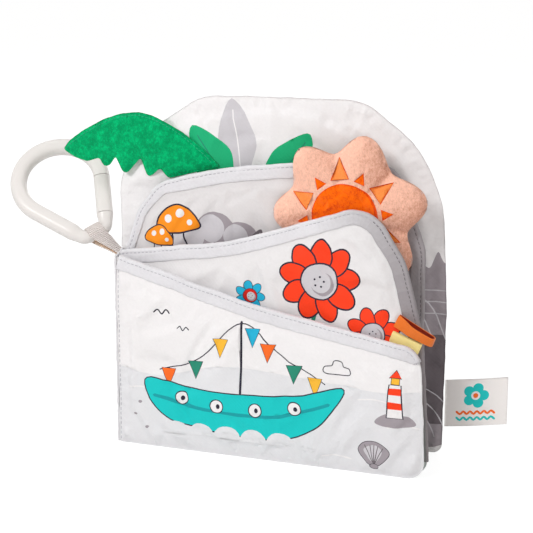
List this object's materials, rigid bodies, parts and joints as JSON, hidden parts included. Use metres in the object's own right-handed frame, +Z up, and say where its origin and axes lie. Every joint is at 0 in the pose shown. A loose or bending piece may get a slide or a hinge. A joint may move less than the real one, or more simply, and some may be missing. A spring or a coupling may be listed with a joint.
{
  "type": "crinkle cloth book",
  "caption": "Padded cloth book standing open like a fan, with crinkling pages, plush sun and leaf, ribbon tabs, a label and a snap ring on a strap.",
  "frame": {"origin": "centre of the bottom face of the spine's rear strip, on the surface that the book stands on", "axes": "+X along the back cover away from the spine, -Y towards the reader, +Z up"},
  "size_m": [0.3092, 0.0893, 0.207],
  "materials": {
    "printed_cloth": "woven polyester, printed",
    "spine_cloth": "woven polyester",
    "grey_binding": "knitted binding tape",
    "crinkle_film": "thin crinkling film",
    "wadding": "polyester wadding",
    "peach_plush": "short plush",
    "green_plush": "short plush",
    "orange_ribbon": "satin ribbon",
    "yellow_ribbon": "ribbed ribbon",
    "satin": "satin label tape",
    "webbing": "ribbed webbing",
    "ring_plastic": "moulded, satin gloss"
  },
  "bodies": {
    "cover": {"back_cover_front_panel": "printed_cloth", "back_cover_back_panel": "printed_cloth", "back_cover_crinkle_film": "crinkle_film", "back_cover_wadding": "wadding", "spine_rear_strip": "spine_cloth", "leaf_root": "green_plush"},
    "third_page": {"third_page_front_panel": "printed_cloth", "third_page_back_panel": "printed_cloth", "third_page_crinkle_film": "crinkle_film", "third_page_wadding": "wadding", "third_page_hem": "grey_binding", "spine_middle_strip": "spine_cloth", "sun_front_plush": "peach_plush", "sun_back_plush": "peach_plush", "sun_stuffing": "wadding"},
    "second_page": {"second_page_front_panel": "printed_cloth", "second_page_back_panel": "printed_cloth", "second_page_crinkle_film": "crinkle_film", "second_page_wadding": "wadding", "second_page_hem": "grey_binding", "spine_front_strip": "spine_cloth", "orange_tab": "orange_ribbon", "yellow_tab": "yellow_ribbon"},
    "front_page": {"front_page_front_panel": "printed_cloth", "front_page_back_panel": "printed_cloth", "front_page_crinkle_film": "crinkle_film", "front_page_wadding": "wadding", "front_page_hem": "grey_binding"},
    "strap": {"ring_strap": "webbing"},
    "ring": {"ring_body": "ring_plastic"},
    "gate": {"ring_gate": "ring_plastic"},
    "leaf": {"leaf_front_plush": "green_plush", "leaf_back_plush": "green_plush"},
    "label": {"label_tag": "satin"}
  },
  "joints": [
    {"name": "third_page_turn", "type": "hinge", "parent": "cover", "child": "third_page", "pos_m": [-0.00022, -0.00497, 0], "axis": [0, 0, -1], "range_deg": [0, 92]},
    {"name": "second_page_turn", "type": "hinge", "parent": "third_page", "child": "second_page", "pos_m": [0.00097, -0.01293, 0], "axis": [0, 0, 1], "range_deg": [-160, 0]},
    {"name": "front_page_turn", "type": "hinge", "parent": "second_page", "child": "front_page", "pos_m": [0.00227, -0.02164, 0], "axis": [0, 0, -1], "range_deg": [0, 172]},
    {"name": "strap_swing", "type": "hinge", "parent": "cover", "child": "strap", "pos_m": [-0.00291, 0.00469, 0.1105], "axis": [0, 1, 0], "range_deg": [-88, 12]},
    {"name": "ring_flip", "type": "hinge", "parent": "strap", "child": "ring", "pos_m": [-0.01841, 0.00509, 0.1215], "axis": [0.7236, 0.559, 0.4047], "range_deg": [-60, 30]},
    {"name": "gate_snap", "type": "hinge", "parent": "ring", "child": "gate", "pos_m": [-0.01966, 0.01306, 0.13042], "axis": [0.1823, -0.7204, 0.6691], "range_deg": [0, 25]},
    {"name": "leaf_flap", "type": "hinge", "parent": "cover", "child": "leaf", "pos_m": [0.02988, -0.00001, 0.15781], "axis": [0.9665, 0, 0.2568], "range_deg": [0, 60]},
    {"name": "label_flap", "type": "hinge", "parent": "cover", "child": "label", "pos_m": [0.19594, 0.00469, 0.0165], "axis": [0, 0, 1], "range_deg": [-60, 60]}
  ]
}
